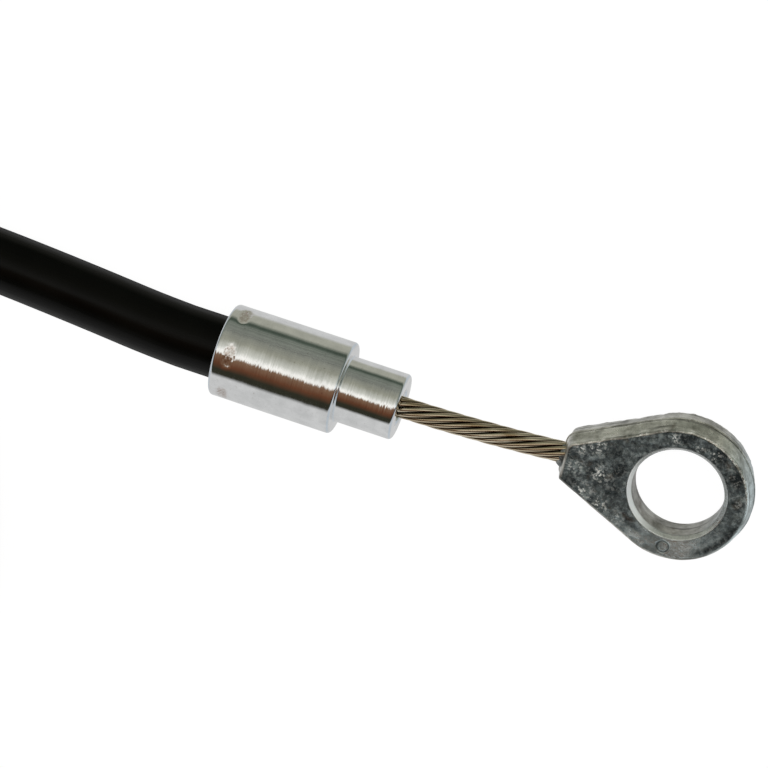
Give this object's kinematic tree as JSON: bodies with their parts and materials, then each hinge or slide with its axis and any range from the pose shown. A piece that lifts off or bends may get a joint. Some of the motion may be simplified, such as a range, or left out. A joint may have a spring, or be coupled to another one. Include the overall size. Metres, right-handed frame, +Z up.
{
  "type": "clutch cable",
  "caption": "Sheathed clutch cable: black armoured conduit with plated stepped ferrules and a sliding bare strand that ends in cast eyes, its spare length coiled and tied.",
  "frame": {"origin": "on the ground under the middle of the near ferrule, strand and eye", "axes": "+X along the near strand towards its eye, +Z up and along the eye's hole"},
  "size_m": [0.2306, 0.1218, 0.0204],
  "materials": {
    "zinc_plate": "bright plated, fine turning marks",
    "die_cast_zinc": "rough grey-green die casting",
    "strand": "drawn wire with a brown oil film",
    "black_jacket": "extruded black vinyl, satin",
    "spring_steel": "bare flat wire",
    "liner": "natural plastic tube",
    "nylon": "natural moulded nylon"
  },
  "bodies": {
    "sheath": {"near_ferrule": "zinc_plate", "near_conduit_jacket": "black_jacket", "near_conduit_armour": "spring_steel", "near_conduit_liner": "liner", "conduit_run": "black_jacket", "conduit_coil": "black_jacket", "far_lead": "black_jacket", "coil_tie_1": "nylon", "coil_tie_2": "nylon", "far_ferrule": "zinc_plate", "far_conduit_jacket": "black_jacket", "far_conduit_armour": "spring_steel", "far_conduit_liner": "liner"},
    "near_cable": {"near_inner_cable": "strand", "near_eye": "die_cast_zinc"},
    "far_cable": {"far_inner_cable": "strand", "far_eye": "die_cast_zinc"}
  },
  "joints": [
    {"name": "near_pull", "type": "slide", "parent": "sheath", "child": "near_cable", "axis": [1, 0, 0], "range_m": [-0.015, 0.015]},
    {"name": "far_pull", "type": "slide", "parent": "sheath", "child": "far_cable", "axis": [1, 0, 0], "range_m": [-0.015, 0.015]}
  ],
  "couplings": [
    {"joint": "far_pull", "follows": "near_pull", "ratio": -1}
  ]
}
